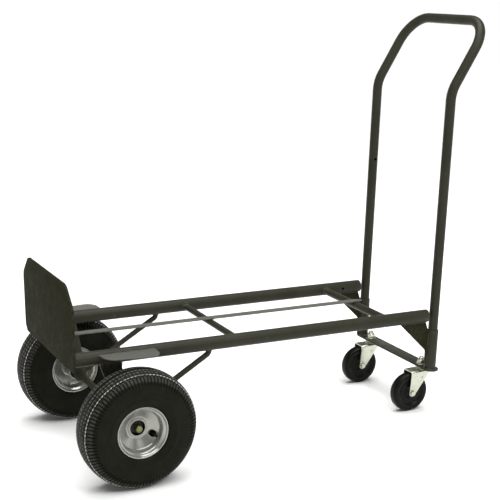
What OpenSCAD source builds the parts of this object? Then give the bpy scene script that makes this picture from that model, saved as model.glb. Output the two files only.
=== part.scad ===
// Convertible hand truck, standing as a four-wheel platform cart.
// Millimetres, +Z up, floor at z = 0, +X from the toe plate to the handle, -Y the left side.
// Distances along X below are counted from the toe plate's outer face; place() then centres the part.

/* [Frame] */
// Half the distance between the side rails' centre lines
rail_y = 156; // [154:0.5:158]
// Outer diameter of the side rails
rail_d = 31.75; // [30:0.25:32]
// Bore of the side rails, which takes a handle leg when the truck stands upright
rail_bore = 25.75; // [25:0.25:26]
// Height of the rail centre line at the toe plate
rail_z = 285.3; // [284:0.1:287]
// Downward slope of the rails towards the handle, in degrees
slope = 1.3; // [1:0.1:1.4]
// Open end of the rails
rail_end = 936; // [934:0.5:938]
// Outer diameter of the middle crossbar
mid_d = 15.9; // [14:0.1:17]
// Outer diameter of the rear crossbar
rear_d = 19; // [17:0.1:20]
// Width of the centre strap
strap_w = 20; // [18:1:24]

/* [Toe plate] */
// Half width of the toe plate
plate_hw = 178; // [174:0.5:180]
// Thickness of the toe plate
plate_t = 5; // [4:0.5:6]
// Lower edge of the toe plate
plate_lo = 261; // [258:1:263]
// Upper edge of the toe plate
plate_hi = 452; // [445:1:460]

/* [Large wheels] */
// Outer radius of the tyres
tyre_r = 135; // [134:0.5:135]
// Width of the tyres
tyre_w = 92.5; // [90:0.5:93]
// Middle plane of each wheel
wheel_y = 224; // [223:0.5:226]
// Axle diameter
axle_d = 15.88; // [15.8:0.02:15.88]
// Outer diameter of the hub tubes
hub_d = 41; // [40:0.5:42]
// Radius of the rim's rolled lip
lip_r = 60.2; // [59:0.2:61]

/* [Casters] */
// Radius of the caster wheels
cast_r = 50.8; // [50:0.2:50.8]
// Width of the caster wheels
cast_w = 30; // [28:0.5:30]
// Distance of each caster's swivel axis from the middle
cast_y = 117; // [115:0.5:118]
// Trail of the caster axle behind the swivel axis
trail = 36; // [34:0.5:37]

/* [Handle] */
// Outer diameter of the handle tube
grip_d = 23.8; // [23.6:0.05:23.8]
// Wall of the handle tube
grip_wall = 1.8; // [1.5:0.1:2]
// Straight length of each leg up to the handle's lower bend
leg_l = 672.3; // [660:0.1:680]
// Lean of the grip from the legs, in degrees
grip_lean = 30.6; // [28:0.1:32]
// Straight length between the lower bend and the corner bend
grip_l = 96.2; // [90:0.1:100]
// Radius of the corner bends
corner_r = 72; // [68:1:76]

/* [Hidden] */
$fn = 64;

frame_grey = [0.22, 0.22, 0.2];
rail_r = rail_d / 2;
wheel_x = 124;                      // axle's distance from the toe plate's outer face
wheel_z = tyre_r;
bend_r = 80;                        // handle's lower bend
bar_top = 121.3;                    // top face of the caster crossbar
bar_t = 5;
bar_x = 960;
bar_w = 36;
leg_x = 956.3;                      // handle leg where it enters the bottom of its sleeve
leg_z = bar_top + 0.8;
sleeve_d = 28.5;
sleeve_bore = 24.6;
sleeve_top = 224;
swivel_x = 958;
stem_r = 6;
fork_top = 108.5;                   // upper face of the fork's crown
fork_t = 2.5;
fork_in = 16.2;                     // half the gap between the fork's cheeks
cast_x = swivel_x - trail;
hole_r = 4;                         // locking hole in each rail and leg
lock_rail_x = 877;
lock_leg_h = 490;                   // height of the leg's hole above the leg's lower end
strap_t = 3;
fender_t = 3;

// Ends of the handle, worked out to centre the part on its own box
tip_x = leg_x + leg_l * sin(slope) + bend_r * (cos(slope) - cos(slope + grip_lean))
  + (grip_l + corner_r) * sin(slope + grip_lean) + grip_d / 2;
near_x = min(0, wheel_x - tyre_r);
mid_x = (tip_x + near_x) / 2;

function rail_h(x) = rail_z - x * tan(slope);
function power(c, p) = sign(c) * pow(abs(c), p);
// Half of a rounded-square loop: radius rc +- hr, half width w, from the tread round to the bead
function loop(rc, hr, w, n) = [for (i = [0:n]) let (a = 360 * i / n)
  [rc + hr * power(cos(a), 0.75), w * power(sin(a), 0.75)]];

module place() { translate([-mid_x, 0, 0]) children(); }
// side(-1) keeps what is drawn on the left, side(1) mirrors it to the right
module side(s) { if (s < 0) children(); else mirror([0, 1, 0]) children(); }
// Frame of the rails: x along them, z square to them
module along() { translate([0, 0, rail_z]) rotate([0, slope, 0]) children(); }
module rod_y(r, y0, y1) { translate([0, y0, 0]) rotate([-90, 0, 0]) cylinder(r = r, h = y1 - y0); }
module ring_y(r, b, y0, y1) {
  translate([0, y0, 0]) rotate([-90, 0, 0]) linear_extrude(y1 - y0) difference() { circle(r); circle(b); }
}
// Plate of outline pts in X and Z, between y0 and y1
module plate_y(y0, y1) { translate([0, y1, 0]) rotate([90, 0, 0]) linear_extrude(y1 - y0) children(); }
// Bend of radius r through angle a, from +Z towards +X, with its section as the child.
// Straight lengths run lap into a bend, whose section is smaller by skin all round.
lap = 1;
skin = 0.05;
module bend(r, a) {
  translate([r, 0, 0]) rotate([90, 0, 0]) rotate([0, 0, 180 - a]) rotate_extrude(angle = a)
    translate([r, 0]) children();
}
module turned(r, a) { translate([r, 0, 0]) rotate([0, a, 0]) translate([-r, 0, 0]) children(); }
module rail_void(r) { translate([0, -rail_y, 0]) along() translate([-40, 0, 0]) rotate([0, 90, 0])
  cylinder(r = r, h = 1100); }

// ---- welded frame ----
module toe_plate() {
  color(frame_grey) place() rotate([90, 0, 90]) linear_extrude(plate_t) difference() {
    polygon([[-plate_hw + 12, plate_lo], [plate_hw - 12, plate_lo], [plate_hw, plate_lo + 16],
      [plate_hw, 398], [plate_hw - 3, 410], [146, 440], [138, 448], [126, plate_hi],
      [-126, plate_hi], [-138, 448], [-146, 440], [-plate_hw + 3, 410], [-plate_hw, 398],
      [-plate_hw, plate_lo + 16]]);
  }
}

module rail(s) {
  color(frame_grey) place() side(s) difference() {
    translate([0, -rail_y, 0]) along() difference() {
      translate([-20, 0, 0]) rotate([0, 90, 0]) cylinder(r = rail_r, h = rail_end + 20);
      translate([-30, 0, 0]) rotate([0, 90, 0]) cylinder(r = rail_bore / 2, h = rail_end + 40);
      // relieved at the welded end
      translate([-30, 0, 0]) rotate([0, 90, 0]) cylinder(r = rail_bore / 2 + 0.5, h = 45);
      // locking hole through the inner wall
      translate([lock_rail_x, 0, 0]) rotate([-90, 0, 0]) cylinder(r = hole_r, h = rail_d);
    }
    translate([plate_t - 200, -300, 0]) cube([200, 300, 500]);
  }
}

module crossbar(u, d, w) {
  difference() {
    along() translate([u, 0, w]) rod_y(d / 2, -rail_y, rail_y);
    rail_void(rail_r);
    mirror([0, 1, 0]) rail_void(rail_r);
  }
}
module mid_crossbar() { color(frame_grey) place() crossbar(408, mid_d, 0); }
module rear_crossbar() { color(frame_grey) place() crossbar(825, rear_d, (mid_d - rear_d) / 2); }

module centre_strap() {
  color(frame_grey) place() difference() {
    along() translate([0, 0, mid_d / 2]) linear_extrude(strap_t)
      polygon([[-5, -strap_w / 2], [826, -strap_w / 2], [846, -2], [846, 2], [826, strap_w / 2],
        [-5, strap_w / 2]]);
    translate([plate_t - 50, -50, 200]) cube([50, 100, 150]);
  }
}

module fender(s) {
  color([0.3, 0.3, 0.28]) place() side(s) difference() {
    along() translate([0, 0, 7.5]) linear_extrude(fender_t)
      polygon([[60, -160], [61, -180], [65, -194], [72, -204], [82, -210], [96, -213], [160, -222],
        [174, -221], [184, -213], [190, -200], [191, -184], [191, -160]]);
    rail_void(rail_r);
  }
}

module axle_bracket(s) {
  color(frame_grey) place() side(s) difference() {
    union() {
      plate_y(-152.5, -147.5) polygon([[66, 277], [118, 277], [118, 268],
        [wheel_x + 15, wheel_z + 4], [wheel_x - 14, wheel_z + 2]]);
      translate([wheel_x, 0, wheel_z]) rod_y(17, -152.5, -147.5);
    }
    rail_void(rail_r);
    translate([wheel_x, 0, wheel_z]) rod_y(axle_d / 2, -200, 0);
  }
}

strut_top = [331, 255];
strut_lo = [wheel_x, wheel_z];
strut_a = atan2(strut_top[1] - strut_lo[1], strut_top[0] - strut_lo[0]);
strut_l = norm(strut_top - strut_lo);
strut_r = 6.5;
module strut(s) {
  color(frame_grey) place() side(s) difference() {
    union() {
      translate([strut_lo[0], -rail_y, strut_lo[1]]) rotate([0, -strut_a, 0]) {
        translate([30, 0, 0]) rotate([0, 90, 0]) cylinder(r = strut_r, h = strut_l - 30);
        // flattened eye round the axle
        translate([0, -2.5, -8]) cube([34, 5, 16]);
        rod_y(14, -2.5, 2.5);
      }
      // swaged upright end, welded under the rail
      translate([strut_top[0], -rail_y, strut_top[1] - 6.5]) cylinder(r = strut_r + 0.7, h = 26);
    }
    rail_void(rail_r);
    translate([wheel_x, 0, wheel_z]) rod_y(axle_d / 2, -200, 0);
  }
}

module gusset(s) {
  color(frame_grey) place() side(s) difference() {
    plate_y(-rail_y - 2.25, -rail_y + 2.25) polygon([[858, 256], [935, 256], [935, 246], [939, 236],
      [944, 227], [950, 224], [950, bar_top], [938, bar_top], [938, 172]]);
    rail_void(rail_r);
    translate([leg_x, -rail_y, leg_z]) rotate([0, slope, 0]) translate([0, 0, -40])
      cylinder(r = sleeve_d / 2, h = 200);
  }
}

module sleeve(s) {
  color(frame_grey) place() side(s) difference() {
    translate([leg_x, -rail_y, leg_z]) rotate([0, slope, 0]) translate([0, 0, -20]) difference() {
      cylinder(r = sleeve_d / 2, h = sleeve_top - leg_z + 20);
      translate([0, 0, -1]) cylinder(r = sleeve_bore / 2, h = sleeve_top - leg_z + 22);
    }
    translate([900, -200, bar_top - 60]) cube([100, 100, 60]);
  }
}

module caster_crossbar() {
  color(frame_grey) place() translate([bar_x, 0, bar_top - bar_t]) linear_extrude(bar_t) difference() {
    union() {
      square([bar_w, 2 * rail_y], center = true);
      for (s = [-1, 1]) translate([0, s * rail_y]) circle(bar_w / 2);
    }
    for (s = [-1, 1]) translate([swivel_x - bar_x, s * cast_y]) circle(stem_r);
  }
}

// ---- axle set, fixed to the frame ----
module axle() { color("silver") place() translate([wheel_x, 0, wheel_z]) rod_y(axle_d / 2, -240, 240); }
module both_rings(r, b, y0, y1) {
  for (s = [-1, 1]) place() side(s) translate([wheel_x, 0, wheel_z]) ring_y(r, b, -y1, -y0);
}
module axle_spacers() { color("silver") both_rings(11.5, axle_d / 2, 158.5, 174.6); }
module axle_washers() { color("silver") both_rings(14, axle_d / 2, 218.4, 220.4); }
module axle_rings() { color("silver") both_rings(11, axle_d / 2, 220.4, 222.4); }

// ---- large wheels; local origin at the wheel's centre, outer side towards -Y ----
module wheel_at(s) { place() side(s) translate([wheel_x, -wheel_y, wheel_z]) rotate([90, 0, 0]) children(); }
seat_r = 50.5;                      // rim's bead seat
rim_t = 2;
module tyre(s) {
  color([0.08, 0.08, 0.08]) wheel_at(s) rotate_extrude($fn = 96) difference() {
    polygon(loop(91.2, tyre_r - 91.2, tyre_w / 2, 48));
    polygon(loop(90, 36, tyre_w / 2 - 5.5, 40));
    translate([0, -60]) square([seat_r + 0.25, 120]);
    translate([0, -20]) square([70, 40]);
    // room for the rim's flanges
    for (m = [0, 1]) mirror([0, m]) polygon([[0, 26.8], [seat_r, 26.8], [52.6, 28.9], [57.5, 32.9],
      [lip_r + 0.4, 33.7], [lip_r + 0.4, 70], [0, 70]]);
  }
}
// One pressed half: rolled lip, flange, bead seat and a dish down to the hub
module rim_half() {
  color("lightgrey") rotate_extrude($fn = 96) union() {
    polygon([[lip_r, 34], [lip_r, 36.4], [lip_r - 1.6, 37.4], [lip_r - 4, 36.6], [54, 32.6], [49.6, 30],
      [48.5, 27], [48.5, 17], [46.5, 14.8], [26, 2.2], [hub_d / 2, 1.6], [hub_d / 2, 0.02], [27, 0.02],
      [47.5, 12.4], [seat_r, 15.6], [seat_r, 27], [52.6, 29.2], [57.5, 33.2]]);
  }
}
module rim_outer(s) {
  wheel_at(s) difference() {
    rim_half();
    rotate([0, 0, -27]) translate([36.5, 0, -5]) cylinder(r = 8.5, h = 40);
  }
}
module rim_inner(s) { wheel_at(s) mirror([0, 0, 1]) rim_half(); }
module hub(s) {
  color("silver") wheel_at(s) rotate_extrude() polygon([[17.5, -52], [hub_d / 2, -52], [hub_d / 2, 4.2],
    [hub_d / 2 - 0.8, 5], [18.3, 5], [17.5, 4.2]]);
}
module bearings(s) {
  color("dimgray") wheel_at(s) for (z = [-49, -17]) translate([0, 0, z]) rotate_extrude()
    polygon([[axle_d / 2 + 0.05, 0], [17.5, 0], [17.5, 11], [axle_d / 2 + 0.05, 11]]);
}
module valve(s) {
  color([0.1, 0.1, 0.1]) wheel_at(s) rotate([0, 0, -27]) translate([39.6, 0, 0])
    union() { translate([0, 0, 9]) cylinder(r = 4, h = 12); translate([0, 0, 20]) cylinder(r = 2.6, h = 8); }
}

// ---- casters ----
module caster_nuts() {
  color("silver") place() for (s = [-1, 1]) translate([swivel_x, s * cast_y, bar_top]) {
    difference() {
      union() { cylinder(r = 13, h = 2); translate([0, 0, 2]) cylinder(r = 10.9, h = 9, $fn = 6);
        translate([0, 0, 11]) cylinder(r = 8.6, h = 3); }
      translate([0, 0, -1]) cylinder(r = stem_r, h = 30);
    }
  }
}
module caster_stem(s) {
  color("silver") place() side(s) translate([swivel_x, -cast_y, 0]) {
    translate([0, 0, fork_top + 2.8]) cylinder(r = 15, h = bar_top - bar_t - fork_top - 2.8);
    translate([0, 0, fork_top - fork_t - 4]) cylinder(r = 9, h = 3.7);
    translate([0, 0, fork_top - fork_t - 1]) cylinder(r = stem_r, h = bar_top + 19 - fork_top + fork_t);
  }
}
module fork(s) {
  color("gainsboro") place() side(s) translate([0, -cast_y, 0]) {
    w = fork_in + fork_t;
    difference() {
      translate([cast_x - 4, -w, fork_top - fork_t]) cube([59, 2 * w, fork_t]);
      translate([swivel_x, 0, fork_top - 10]) cylinder(r = stem_r + 0.06, h = 20);
    }
    for (m = [-1, 1]) translate([0, m > 0 ? fork_in : -w, 0]) difference() {
      plate_y(0, fork_t) union() {
        polygon([[cast_x - 4, fork_top - fork_t], [cast_x + 55, fork_top - fork_t], [cast_x + 46, 98],
          [cast_x + 34, 81], [cast_x + 8, 46.5], [cast_x - 9, cast_r]]);
        translate([cast_x, cast_r]) circle(9);
      }
      translate([cast_x, 0, cast_r]) rod_y(4, -1, 10);
      translate([cast_x + 27, 0, 91]) rod_y(1.8, -1, 10);
    }
  }
}
module ball_race(s) {
  color("silver") place() side(s) translate([swivel_x, -cast_y, fork_top]) rotate_extrude()
    polygon([[6.4, 0], [14, 0], [13.2, 2.5], [6.4, 2.5]]);
}
module caster_axle(s) {
  color("silver") place() side(s) translate([cast_x, -cast_y, cast_r]) {
    w = fork_in + fork_t;
    rod_y(4, -w, w + 6.5);
    translate([0, -w - 4.5, 0]) rotate([-90, 0, 0]) cylinder(r = 7.3, h = 4.5, $fn = 6);
    translate([0, w, 0]) rotate([-90, 0, 0]) cylinder(r = 7.3, h = 5.5, $fn = 6);
  }
}
module caster_wheel(s) {
  color([0.08, 0.08, 0.08]) place() side(s) translate([cast_x, -cast_y, cast_r]) rotate([90, 0, 0])
    rotate_extrude($fn = 96) polygon([for (m = [-1, 1]) for (p = m < 0
      ? [[7, -cast_w / 2], [13, -cast_w / 2], [17, -9], [31, -8], [36, -12.5], [44, -13.5],
         [48.4, -11.5], [50.2, -8], [cast_r, -4]]
      : [[cast_r, 4], [50.2, 8], [48.4, 11.5], [44, 13.5], [36, 12.5], [31, 8], [17, 9],
         [13, cast_w / 2], [7, cast_w / 2]]) p]);
}
module caster_bush(s) {
  color("silver") place() side(s) translate([cast_x, -cast_y, cast_r])
    ring_y(7, 4.05, -cast_w / 2 - 0.8, cast_w / 2 + 0.8);
}

// ---- handle, standing in its sleeves ----
module ring2(d, wall) { difference() { circle(d / 2); circle(d / 2 - wall); } }
module tube(h0, h1) { translate([0, 0, h0]) linear_extrude(h1 - h0) ring2(grip_d, grip_wall); }
module grip_bend(r, a) { bend(r, a) ring2(grip_d - 2 * skin, grip_wall - 2 * skin); }
module handle_side(bar) {
  translate([leg_x, -rail_y, leg_z]) rotate([0, slope, 0]) {
    difference() {
      tube(0, leg_l + lap);
      // locking hole through the inner wall
      translate([0, 0, lock_leg_h]) rotate([-90, 0, 0]) cylinder(r = hole_r, h = grip_d);
    }
    translate([0, 0, leg_l]) {
      grip_bend(bend_r, grip_lean);
      turned(bend_r, grip_lean) {
        tube(-lap, grip_l + lap);
        translate([0, 0, grip_l]) rotate([0, 0, 90]) {
          grip_bend(corner_r, 90);
          if (bar) turned(corner_r, 90) tube(-lap, 2 * (rail_y - corner_r) + lap);
        }
      }
    }
  }
}
module handle() { color(frame_grey) place() { handle_side(true); side(1) handle_side(false); } }

toe_plate();
rail(-1);  // rail_left
rail(1);  // rail_right
mid_crossbar();
rear_crossbar();
centre_strap();
fender(-1);  // fender_left
fender(1);  // fender_right
axle_bracket(-1);  // axle_bracket_left
axle_bracket(1);  // axle_bracket_right
strut(-1);  // strut_left
strut(1);  // strut_right
axle();
axle_spacers();
axle_washers();
axle_rings();
gusset(-1);  // gusset_left
gusset(1);  // gusset_right
sleeve(-1);  // sleeve_left
sleeve(1);  // sleeve_right
caster_crossbar();
caster_nuts();
caster_stem(-1);  // caster_stem_left
caster_stem(1);  // caster_stem_right
tyre(-1);  // tyre_left
tyre(1);  // tyre_right
rim_outer(-1);  // rim_outer_left
rim_outer(1);  // rim_outer_right
rim_inner(-1);  // rim_inner_left
rim_inner(1);  // rim_inner_right
hub(-1);  // hub_left
hub(1);  // hub_right
bearings(-1);  // bearings_left
bearings(1);  // bearings_right
valve(-1);  // valve_left
valve(1);  // valve_right
fork(-1);  // fork_left
fork(1);  // fork_right
ball_race(-1);  // ball_race_left
ball_race(1);  // ball_race_right
caster_axle(-1);  // caster_axle_left
caster_axle(1);  // caster_axle_right
caster_wheel(-1);  // caster_wheel_left
caster_wheel(1);  // caster_wheel_right
caster_bush(-1);  // caster_bush_left
caster_bush(1);  // caster_bush_right
handle();
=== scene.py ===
"""Convertible hand truck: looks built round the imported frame."""

import math
import random

import bmesh
import bpy
from mathutils import Matrix, Vector


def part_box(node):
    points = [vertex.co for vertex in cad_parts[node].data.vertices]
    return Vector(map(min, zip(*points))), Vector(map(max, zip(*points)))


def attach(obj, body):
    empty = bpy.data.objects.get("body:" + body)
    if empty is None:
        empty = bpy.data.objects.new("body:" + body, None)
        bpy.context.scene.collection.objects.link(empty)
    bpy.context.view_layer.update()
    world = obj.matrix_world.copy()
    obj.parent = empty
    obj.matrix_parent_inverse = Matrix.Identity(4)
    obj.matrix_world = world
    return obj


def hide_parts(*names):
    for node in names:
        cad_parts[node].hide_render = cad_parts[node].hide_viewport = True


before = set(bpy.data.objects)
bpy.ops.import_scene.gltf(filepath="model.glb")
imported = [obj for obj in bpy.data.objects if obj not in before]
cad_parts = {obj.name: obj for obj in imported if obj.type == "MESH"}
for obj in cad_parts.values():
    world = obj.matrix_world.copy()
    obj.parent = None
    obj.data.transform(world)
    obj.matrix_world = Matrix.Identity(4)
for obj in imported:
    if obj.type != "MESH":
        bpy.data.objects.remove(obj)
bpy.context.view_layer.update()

MM = 0.001
X0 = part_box("toe_plate")[0].x          # outer face of the toe plate, from which x is counted
SIDES = (("left", -1), ("right", 1))
TAU = 2 * math.pi
rnd = random.Random(7)


def rad(d):
    return math.radians(d)


# ---------------------------------------------------------------- materials
class Nodes:
    """A material's node tree, with short ways to add what is used again and again."""

    def __init__(self, name):
        self.mat = bpy.data.materials.new(name)
        self.mat.use_nodes = True
        self.tree = self.mat.node_tree
        self.tree.nodes.clear()
        self.out = self.tree.nodes.new("ShaderNodeOutputMaterial")
        self.bsdf = self.tree.nodes.new("ShaderNodeBsdfPrincipled")
        self.link(self.bsdf.outputs["BSDF"], self.out.inputs["Surface"])
        self.coord = self.tree.nodes.new("ShaderNodeTexCoord").outputs["Object"]

    def link(self, a, b):
        self.tree.links.new(a, b)

    def add(self, kind, **sockets):
        n = self.tree.nodes.new(kind)
        for k, v in sockets.items():
            n.inputs[k.replace("_", " ")].default_value = v
        return n

    def noise(self, scale, detail=3.0, rough=0.5, stretch=None):
        n = self.add("ShaderNodeTexNoise", Scale=scale, Detail=detail, Roughness=rough)
        src = self.coord
        if stretch:
            m = self.tree.nodes.new("ShaderNodeMapping")
            m.inputs["Scale"].default_value = stretch
            self.link(src, m.inputs["Vector"])
            src = m.outputs["Vector"]
        self.link(src, n.inputs["Vector"])
        return n.outputs["Fac"]

    def ramp(self, fac, a, b, lo=0.0, hi=1.0):
        """fac from a to b becomes lo to hi."""
        n = self.tree.nodes.new("ShaderNodeMapRange")
        n.inputs["From Min"].default_value, n.inputs["From Max"].default_value = a, b
        n.inputs["To Min"].default_value, n.inputs["To Max"].default_value = lo, hi
        self.link(fac, n.inputs["Value"])
        return n.outputs["Result"]

    def math(self, op, a, b):
        n = self.tree.nodes.new("ShaderNodeMath")
        n.operation = op
        for i, v in enumerate((a, b)):
            if isinstance(v, (int, float)):
                n.inputs[i].default_value = v
            else:
                self.link(v, n.inputs[i])
        return n.outputs[0]

    def mix(self, fac, a, b):
        n = self.tree.nodes.new("ShaderNodeMix")
        n.data_type = "RGBA"
        for sock, v in ((n.inputs[0], fac), (n.inputs[6], a), (n.inputs[7], b)):
            if isinstance(v, (int, float)):
                sock.default_value = v
            elif isinstance(v, tuple):
                sock.default_value = (*v, 1)
            else:
                self.link(v, sock)
        return n.outputs[2]

    def bump(self, height, distance, strength=1.0, after=None):
        n = self.add("ShaderNodeBump", Distance=distance, Strength=strength)
        self.link(height, n.inputs["Height"])
        if after is not None:
            self.link(after, n.inputs["Normal"])
        return n.outputs["Normal"]

    def edges(self, lo=0.515, hi=0.6):
        g = self.tree.nodes.new("ShaderNodeNewGeometry")
        return self.ramp(g.outputs["Pointiness"], lo, hi)

    def attribute(self, name):
        a = self.tree.nodes.new("ShaderNodeAttribute")
        a.attribute_name = name
        return a.outputs["Fac"]

    def set(self, **values):
        for k, v in values.items():
            self.bsdf.inputs[k.replace("_", " ")].default_value = v


def powder_coat(name, dark, light, rough=(0.36, 0.5), gloss=0.14):
    """Satin powder coat: fine orange peel, soft cloudy tone, lighter edges that are partly rub wear and
    partly a painted highlight, a little dusting.
    """
    n = Nodes(name)
    cloud = n.noise(9.0, 4.0, 0.6)
    base = n.mix(n.ramp(cloud, 0.3, 0.7), dark, light)
    scuff = n.math("MULTIPLY", n.ramp(n.noise(70.0, 6.0, 0.75), 0.62, 0.72),
                   n.ramp(n.noise(14.0, 2.0), 0.5, 0.62))
    base = n.mix(n.math("MULTIPLY", scuff, 0.35), base, (0.16, 0.155, 0.14))
    # edges lighter where pointiness is high, broken up by noise: partly rub wear, partly a painted edge
    # highlight
    lightening = n.math("MULTIPLY", n.edges(), n.ramp(n.noise(160.0, 4.0, 0.7), 0.4, 0.6))
    base = n.mix(n.math("MULTIPLY", lightening, 0.45), base, (0.2, 0.195, 0.18))
    n.link(base, n.bsdf.inputs["Base Color"])
    n.link(n.ramp(n.noise(55.0, 3.0), 0.3, 0.7, *rough), n.bsdf.inputs["Roughness"])
    peel = n.bump(n.noise(620.0, 2.0, 0.5), 0.0006, 0.12)
    n.link(n.bump(n.noise(2600.0, 1.0), 0.0002, 0.1, peel), n.bsdf.inputs["Normal"])
    n.set(Specular_IOR_Level=gloss)
    return n.mat


def zinc_plate(name, tint=(0.53, 0.54, 0.45), dull=(0.46, 0.47, 0.39), rough=(0.22, 0.32)):
    n = Nodes(name)
    patch = n.noise(95.0, 5.0, 0.65)
    grain = n.noise(420.0, 3.0, 0.6, (1.0, 0.12, 1.0))
    base = n.mix(n.ramp(patch, 0.35, 0.75), tint, dull)
    base = n.mix(n.math("MULTIPLY", n.ramp(n.noise(240.0, 2.0), 0.7, 0.78), 0.3), base, (0.34, 0.33, 0.29))
    n.link(base, n.bsdf.inputs["Base Color"])
    n.link(n.ramp(grain, 0.3, 0.7, *rough), n.bsdf.inputs["Roughness"])
    n.link(n.bump(grain, 0.0002, 0.25), n.bsdf.inputs["Normal"])
    n.set(Metallic=0.92)
    return n.mat


def rim_paint():
    n = Nodes("rim_silver_paint")
    flake = n.noise(3800.0, 1.0)
    base = n.mix(n.ramp(flake, 0.35, 0.65), (0.27, 0.27, 0.245), (0.33, 0.33, 0.3))
    grime = n.math("MULTIPLY", n.ramp(n.noise(22.0, 3.0, 0.55), 0.5, 0.8), 0.14)
    base = n.mix(grime, base, (0.2, 0.19, 0.16))
    # edges and the lip painted lighter: a painted highlight
    lightening = n.math("MULTIPLY", n.edges(0.53, 0.62), 0.35)
    base = n.mix(lightening, base, (0.62, 0.61, 0.58))
    n.link(base, n.bsdf.inputs["Base Color"])
    n.link(n.ramp(n.noise(60.0, 3.0), 0.3, 0.7, 0.15, 0.21), n.bsdf.inputs["Roughness"])
    n.link(n.bump(n.noise(520.0, 2.0), 0.0003, 0.06), n.bsdf.inputs["Normal"])
    n.set(Metallic=0.55, Coat_Weight=0.5, Coat_Roughness=0.1)
    return n.mat


def rubber(name, base=(0.003, 0.0035, 0.0008), grey=(0.0062, 0.0068, 0.0025), rough=(0.5, 0.66),
           dust_and_sheen=(0.8, 0.77, 0.72), dust_and_sheen_scale=0.9, lightening=0.06):
    """Moulded rubber. A mesh attribute says where pale marks go: dusting, and a painted highlight along the
    tread's groove lips.
    """
    n = Nodes(name)
    tone = n.mix(n.ramp(n.noise(26.0, 5.0, 0.65), 0.35, 0.7), base, grey)
    scuffs = n.math("MULTIPLY", n.ramp(n.noise(180.0, 5.0, 0.75), 0.6, 0.72), lightening)
    tone = n.mix(scuffs, tone, (0.075, 0.072, 0.06))
    if dust_and_sheen_scale:
        # pale marks where the mesh attribute asks: dusting, and a painted highlight along the groove lips
        dust_and_sheen_mask = n.math("MULTIPLY", n.attribute("dust_and_sheen"), n.ramp(n.noise(150.0, 3.0, 0.6), 0.25, 0.55))
        tone = n.mix(n.math("MULTIPLY", dust_and_sheen_mask, dust_and_sheen_scale), tone, dust_and_sheen)
    n.link(tone, n.bsdf.inputs["Base Color"])
    n.link(n.ramp(n.noise(48.0, 3.0), 0.3, 0.7, *rough), n.bsdf.inputs["Roughness"])
    skin = n.bump(n.noise(1500.0, 3.0, 0.6), 0.0003, 0.25)
    n.link(n.bump(n.noise(140.0, 2.0), 0.0006, 0.2, skin), n.bsdf.inputs["Normal"])
    n.set(Specular_IOR_Level=0.1)
    return n.mat


FRAME = powder_coat("frame_powder_coat", (0.018, 0.018, 0.0105), (0.026, 0.026, 0.0165))
# a darker, duller copy of the frame coat for the toe plate and gussets: painted shade on plates turned away
# from the light
SHADED_PLATE = powder_coat("shaded_plate_powder_coat", (0.012, 0.0125, 0.0045), (0.017, 0.0175, 0.0075), (0.55, 0.7), 0.015)
# a lighter, glossier copy of the frame coat for the strap and fenders: painted light on their up-facing tops
LIT_TOP_COAT = powder_coat("lit_top_powder_coat", (0.055, 0.055, 0.045), (0.075, 0.074, 0.062), (0.42, 0.55), 0.4)
ZINC = zinc_plate("zinc_plate")
AXLE = zinc_plate("yellow_zinc", (0.22, 0.22, 0.1), (0.14, 0.14, 0.06), (0.3, 0.5))
DARK_STEEL = zinc_plate("dark_steel", (0.035, 0.035, 0.032), (0.015, 0.015, 0.014), (0.35, 0.5))
RIM = rim_paint()
TYRE = rubber("tyre_rubber_look")
VALVE = rubber("valve_rubber_look", dust_and_sheen_scale=0, lightening=0.1)
CASTER = rubber("caster_rubber_look", (0.003, 0.003, 0.002), (0.006, 0.006, 0.0045), (0.26, 0.38),
                dust_and_sheen_scale=0, lightening=0.18)


# ---------------------------------------------------------------- mesh tools, in millimetres
def finish(name, verts, faces, body, mat, slot, replaces=(), at=None, sharp=38, flat=()):
    """One piece from lists in millimetres; at is a matrix, still in millimetres."""
    me = bpy.data.meshes.new(name)
    m = at or Matrix.Identity(4)
    me.from_pydata([(m @ Vector(v)) * MM + Vector((X0, 0, 0)) for v in verts], [], faces)
    if m.determinant() < 0:
        me.flip_normals()
    me.validate()
    me.polygons.foreach_set("use_smooth", [True] * len(me.polygons))
    for i in flat:
        me.polygons[i].use_smooth = False
    me.set_sharp_from_angle(angle=rad(sharp))
    me.materials.append(mat)
    ob = bpy.data.objects.new(name, me)
    bpy.context.scene.collection.objects.link(ob)
    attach(ob, body)
    if replaces:
        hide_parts(*replaces)
    return ob


def join(*shapes):
    """Shapes are (verts, faces) pairs."""
    verts, faces = [], []
    for v, f in shapes:
        b = len(verts)
        verts += list(v)
        faces += [tuple(i + b for i in face) for face in f]
    return verts, faces


def moved(shape, m):
    v = [m @ Vector(p) for p in shape[0]]
    f = shape[1] if m.determinant() > 0 else [tuple(reversed(x)) for x in shape[1]]
    return v, f


def turns_left(pts):
    """Whether a closed 2-D outline runs anticlockwise."""
    return sum(pts[i - 1][0] * pts[i][1] - pts[i][0] * pts[i - 1][1] for i in range(len(pts))) > 0


def circle_points(r, n, z=0.0):
    return [(r * math.cos(TAU * k / n), r * math.sin(TAU * k / n), z) for k in range(n)]


def fillet(pts, r, n=4):
    """Corners of a 2-D outline rounded to radius r (a number, or one for each point)."""
    out, count = [], len(pts)
    for i, p in enumerate(pts):
        rr = r[i] if isinstance(r, (list, tuple)) else r
        if rr <= 0:
            out.append(tuple(p))
            continue
        p = Vector(p)
        a, b = Vector(pts[i - 1]) - p, Vector(pts[(i + 1) % count]) - p
        la, lb = a.length, b.length
        a, b = a / la, b / lb
        ang = math.acos(max(-1, min(1, a.dot(b))))
        if ang > rad(176):
            out.append(tuple(p))
            continue
        t = min(rr / math.tan(ang / 2), la * 0.48, lb * 0.48)
        fitted = t * math.tan(ang / 2)
        c = p + (a + b).normalized() * (fitted / math.sin(ang / 2))
        s, e = p + a * t - c, p + b * t - c
        turn = math.atan2(s.x * e.y - s.y * e.x, s.dot(e))
        for k in range(n + 1):
            w = turn * k / n
            out.append((c.x + s.x * math.cos(w) - s.y * math.sin(w),
                        c.y + s.x * math.sin(w) + s.y * math.cos(w)))
    return out


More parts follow.
